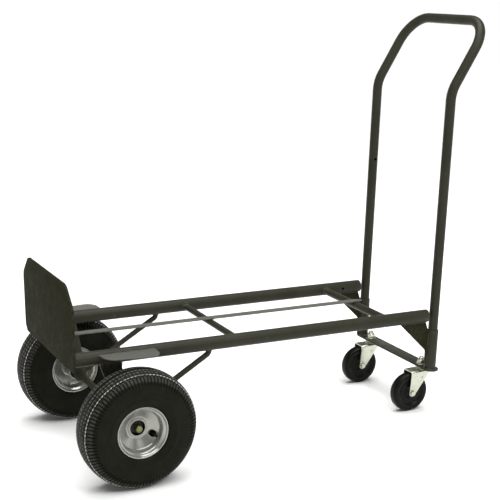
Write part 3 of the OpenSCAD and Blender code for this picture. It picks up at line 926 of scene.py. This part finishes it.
tyre_verts, tyre_faces, tyre_dust_and_sheen = tyre_shape()
for side, s in SIDES:
    body = f"wheel_{side}"
    at = mirror(s) @ shift(WHEEL_X, -WHEEL_Y, WHEEL_Z) @ rot("X", 90)    # z outwards
    ob = finish(f"tyre_tread_{side}", tyre_verts, tyre_faces, body, TYRE, "tyre_rubber", [f"tyre_{side}"], at,
                sharp=50)
    # pale marks for each point: dusting, and the painted highlight on the groove lips
    layer = ob.data.attributes.new("dust_and_sheen", "FLOAT", "POINT")
    layer.data.foreach_set("value", tyre_dust_and_sheen)

    half = lathe(rim_profile(), 144)
    ob = finish(f"rim_outer_shell_{side}", *half, body, RIM, "rim_paint", [f"rim_outer_{side}"], at)
    cut(ob, moved(drill(VALVE_HOLE, 40, 48, -5), rot("Z", VALVE_TURN) @ shift(VALVE_R, 0, 0)), at)
    finish(f"rim_inner_shell_{side}", *moved(half, Matrix.Diagonal((1, 1, -1, 1))), body, RIM, "rim_paint",
           [f"rim_inner_{side}"], at)
    rolled = bead(valve_hole_edge(), 0.75, 2.4, closed=True)
    finish(f"valve_hole_lip_{side}", *rolled, body, RIM, "rim_paint", (), at, sharp=80)

    prof = fillet([(HUB_BORE, -52), (HUB_R, -52), (HUB_R, HUB_OUT), (HUB_BORE, HUB_OUT)], 0.9, 4)
    ob = finish(f"hub_tube_{side}", *lathe(prof, 96), body, RIM, "rim_paint", [f"hub_{side}"], at)
    # the bore is coloured near black: painted shade in the hub's deep recess
    repaint(ob, DARK_STEEL, lambda c: math.hypot(c.x - WHEEL_X, c.z - WHEEL_Z) < 17.9 and abs(c.y) < 228)
    welds = [bead(circle_points(HUB_R + 0.9, 90, z), 1.7, 2.6, closed=True) for z in (2.3, -2.3)]
    finish(f"hub_weld_{side}", *join(*welds), body, RIM, "rim_paint", (), at, sharp=80)
    # races with a sunk shield between them
    prof = [(7.99, 0.5), (8.4, 0), (10.4, 0), (10.7, 0.8), (14.3, 0.8), (14.6, 0), (17.0, 0),
            (HUB_BORE, 0.5), (HUB_BORE, 10.5), (17.0, 11), (14.6, 11), (14.3, 10.0), (10.7, 10.0), (10.4, 11),
            (8.4, 11), (7.99, 10.5)]
    pair = [moved(lathe(prof, 72), shift(0, 0, z)) for z in (-17, -49)]
    finish(f"ball_bearings_{side}", *join(*pair), body, DARK_STEEL, "bearing_steel", [f"bearings_{side}"], at)
    prof = [(0, 8), (3.4, 8), (4, 8.6), (4, 18.4), (3.2, 19.6), (2.6, 20.2), (2.6, 20.8), (3.0, 21.1),
            (3.0, 26.8), (2.5, 27.8), (0, 28)]
    stem = moved(lathe(prof, 40), rot("Z", VALVE_TURN) @ shift(39.6, 0, 0))
    finish(f"valve_stem_{side}", *stem, body, VALVE, "valve_rubber", [f"valve_{side}"], at)

# ---------------------------------------------------------------- casters
for side, s in SIDES:
    m = mirror(s)
    swivel, roller = f"swivel_{side}", f"roller_{side}"
    w_out, t, top = 18.7, 2.5, 108.5
    # bent sheet: a channel run along x, then kept only inside the fork's side view
    outer = fillet([(-w_out, 36), (-w_out, top), (w_out, top), (w_out, 36)], [0, 4.2, 4.2, 0], 5)
    w_in = w_out - t
    inner = fillet([(w_in, 36), (w_in, top - t), (-w_in, top - t), (-w_in, 36)], [0, 1.7, 1.7, 0], 5)
    verts, faces = prism(outer + inner, 905, 985)
    verts = [(x, y - CAST_Y, z) for y, z, x in verts]
    ob = finish(f"fork_steel_{side}", verts, faces, swivel, ZINC, "zinc", [f"fork_{side}"], m)
    low = [(CAST_X + 9 * math.cos(rad(a)), CAST_R + 9 * math.sin(rad(a))) for a in range(-28, -181, -12)]
    side_view = [(918, 112), (972.6, 112), (972.6, 105.2), (968, 98), (956, 81)] + low + [(913.2, 52)]
    side_view = fillet(side_view, [0.5, 0.5, 5, 8, 30] + [0] * len(low) + [3], 3)
    verts, faces = prism(side_view, -26, 26)
    verts = [(x, y - CAST_Y, z) for x, z, y in verts]
    if turns_left(side_view):
        faces = [tuple(reversed(q)) for q in faces]
    cut(ob, (verts, faces), m, "INTERSECT")
    for y in (-CAST_Y - w_out - 1, -CAST_Y + w_in - 1):
        cut(ob, moved(drill(1.8, t + 2, 24), shift(CAST_X + 27, y, 91) @ rot("X", -90)), m)
    b = ob.modifiers.new("edges", "BEVEL")
    b.width, b.segments, b.limit_method, b.angle_limit = 0.45 * MM, 2, "ANGLE", rad(50)
    applied(ob)
    smooth(ob)

    pivot = m @ shift(SWIVEL_X, -CAST_Y, 0)
    prof = fillet([(6.4, top), (14.2, top), (13.6, 110.2), (12.6, 111.05), (6.4, 111.05)],
                  [0.2, 0.3, 0.9, 0.8, 0.2], 3)
    finish(f"race_cup_{side}", *lathe(prof, 72), swivel, ZINC, "zinc", [f"ball_race_{side}"], pivot)
    # kingpin: race disc, retaining flange and a threaded end
    prof = [(0, 100.2), (7.5, 100.2), (8.8, 101.2), (9, 103), (9, 105.4), (6, 105.7), (6, 111.3),
            (13.6, 111.3), (14.7, 112.2), (15, 113.6), (14.8, 115.4), (14.2, 116.3), (6, 116.3), (6, 134.6)]
    z = 134.6
    while z < 138.9:
        prof += [(6.0, z + 0.15), (5.45, z + 0.62), (5.45, z + 0.75), (6.0, z + 1.2)]
        z += 1.25
    prof += [(5.2, 140.0), (4.6, 140.3), (0, 140.3)]
    finish(f"kingpin_{side}", *lathe(prof, 64), "frame", ZINC, "zinc", [f"caster_stem_{side}"], pivot)

    at = m @ shift(CAST_X, -CAST_Y, CAST_R) @ rot("X", 90)
    right = [(7, 15), (13, 15), (17, 9.2), (31, 8), (36, 12.4), (44, 13.6), (48.2, 11.8), (50.2, 8.2),
             (CAST_R, 3.5)]
    prof = [(r, -h) for r, h in right] + list(reversed(right))
    radii = [0.4, 1.5, 4, 5, 3, 2.2, 2.2, 3, 5]
    wheel = lathe(fillet(prof, radii + radii[::-1], 5), 128)
    finish(f"caster_tyre_{side}", *wheel, roller, CASTER, "caster_rubber", [f"caster_wheel_{side}"], at)
    bush = lathe(ring_profile(4.05, 7, -15.8, 15.8, 0.5), 48)
    finish(f"caster_bushing_{side}", *bush, roller, ZINC, "zinc", [f"caster_bush_{side}"], at)
    bolt = lathe([(0, -19.5), (4, -19.5), (4, 24.4), (3.4, 25.2), (0, 25.2)], 40)
    head = moved(hexagon(7.3, 4.5), shift(0, 0, -w_out - 4.5))
    nut = moved(hexagon(7.3, 4.2), shift(0, 0, w_out))
    collar = lathe(ring_profile(4, 5.6, w_out + 4, w_out + 5.5, 0.5), 48)
    finish(f"caster_bolt_{side}", *moved(join(bolt, head, nut, collar), rot("X", 180)), swivel, ZINC, "zinc",
           [f"caster_axle_{side}"], at)

washer = lathe(ring_profile(6, 13, 0, 2, 0.5), 72)
nut = moved(hexagon(10.9, 9.2, chamfer=1.2), shift(0, 0, 2))
prof = fillet([(6, 11), (8.6, 11), (8.6, 12.6), (7.6, 14), (6, 14)], [0.1, 0.5, 0.9, 0.6, 0.1], 3)
collar = lathe(prof, 64)
both = [moved(join(washer, nut, collar), shift(SWIVEL_X, s * CAST_Y, BAR_TOP) @ rot("Z", 17 * s))
        for _, s in SIDES]
finish("lock_nuts", *join(*both), "frame", ZINC, "zinc", ["caster_nuts"])

# ---------------------------------------------------------------- handle
KNEE_TURN, KNEE_R, CORNER_R = 30.6, 80, 72
LEAN = rad(SLOPE + KNEE_TURN)
OUT = Vector((math.sin(LEAN), 0, math.cos(LEAN)))
knee_run = KNEE_R * math.tan(rad(KNEE_TURN / 2))
knee = LEG + UP * (672.3 + knee_run)
corner = knee + OUT * (knee_run + 96.2 + CORNER_R)


def other(p):
    return Vector((p.x, -p.y, p.z))


path = bent([LEG, knee, corner, other(corner), other(knee), other(LEG)],
            [KNEE_R, CORNER_R, CORNER_R, KNEE_R], 4)
dense = [path[0], LEG + UP * 20, LEG + UP * 240] + [LEG + UP * (474 + 2 * k) for k in range(17)]
path = dense + path[1:-1] + [other(p) for p in reversed(dense)]
ob = finish("handle_tube", *tube(path, 11.9, 10.1, 64, 0.6), "handle", FRAME, "frame_coat", ["handle"])
hole_at = Matrix.Translation(LEG + UP * LEG_HOLE_U) @ rot("Y", SLOPE) @ rot("X", -90)
for _, s in SIDES:
    cut(ob, moved(drill(LOCK_HOLE_R, 25), hole_at), mirror(s))

# ---------------------------------------------------------------- stage, light and camera
def floor_grid(size, rows=8):
    ticks = [size * (i / rows - 0.5) for i in range(rows + 1)]
    wide = rows + 1
    faces = [(k, k + 1, k + wide + 1, k + wide) for k in range(rows * wide) if k % wide < rows]
    me = bpy.data.meshes.new("floor")
    me.from_pydata([(x, y, 0) for y in ticks for x in ticks], [], faces)
    ob = bpy.data.objects.new("floor", me)
    bpy.context.scene.collection.objects.link(ob)
    return ob


floor = floor_grid(120.0)
n = Nodes("studio_floor")
n.set(Base_Color=(0.9, 0.9, 0.89, 1), Roughness=0.9, Specular_IOR_Level=0.1)
floor.data.materials.append(n.mat)


def softbox(name, place, aim, size, watts):
    light = bpy.data.lights.new(name, "AREA")
    light.shape, light.size, light.size_y = "RECTANGLE", size[0], size[1]
    light.energy = watts
    ob = bpy.data.objects.new(name, light)
    ob.location = place
    ob.rotation_euler = (Vector(aim) - Vector(place)).to_track_quat("-Z", "Y").to_euler()
    bpy.context.scene.collection.objects.link(ob)


softbox("key_softbox", (0.5, -2.3, 2.6), (0.0, 0.0, 0.2), (1.5, 1.0), 42)
softbox("top_softbox", (0.4, 0.7, 3.2), (0.1, 0.0, 0.3), (2.2, 1.4), 48)
softbox("fill_softbox", (2.6, -2.2, 1.5), (0.2, 0.0, 0.4), (1.4, 1.6), 4)
sun = bpy.data.lights.new("sky_light", "SUN")
sun.energy, sun.angle = 3.0, rad(60)
ob = bpy.data.objects.new("sky_light", sun)
ob.rotation_euler = (rad(8), rad(-6), 0)
bpy.context.scene.collection.objects.link(ob)

world = bpy.data.worlds.new("studio")
world.use_nodes = True
bpy.context.scene.world = world
bg = world.node_tree.nodes["Background"]
bg.inputs["Color"].default_value = (1, 1, 1, 1)
# white at the horizon, where it meets the floor, and dimmer overhead
height = world.node_tree.nodes.new("ShaderNodeSeparateXYZ")
dimming = world.node_tree.nodes.new("ShaderNodeMapRange")
dimming.inputs["From Min"].default_value, dimming.inputs["From Max"].default_value = 0.12, 0.4
dimming.inputs["To Min"].default_value, dimming.inputs["To Max"].default_value = 1.0, 0.15
sky = world.node_tree.nodes.new("ShaderNodeTexCoord")
world.node_tree.links.new(sky.outputs["Generated"], height.inputs[0])
world.node_tree.links.new(height.outputs["Z"], dimming.inputs["Value"])
world.node_tree.links.new(dimming.outputs["Result"], bg.inputs["Strength"])

cam = bpy.data.cameras.new("camera")
cam.sensor_width, cam.lens = 36, 80.8
cam.shift_x, cam.shift_y = 0.0776, 0.115
cam.clip_end = 200
eye = bpy.data.objects.new("camera", cam)
eye.location = (-1.2534, -2.3487, 1.0907)
eye.rotation_euler = Vector((0.4150, 0.8635, -0.2867)).to_track_quat("-Z", "Y").to_euler()
bpy.context.scene.collection.objects.link(eye)
bpy.context.scene.camera = eye
bpy.context.scene.view_settings.view_transform = "Standard"

bpy.context.view_layer.update()
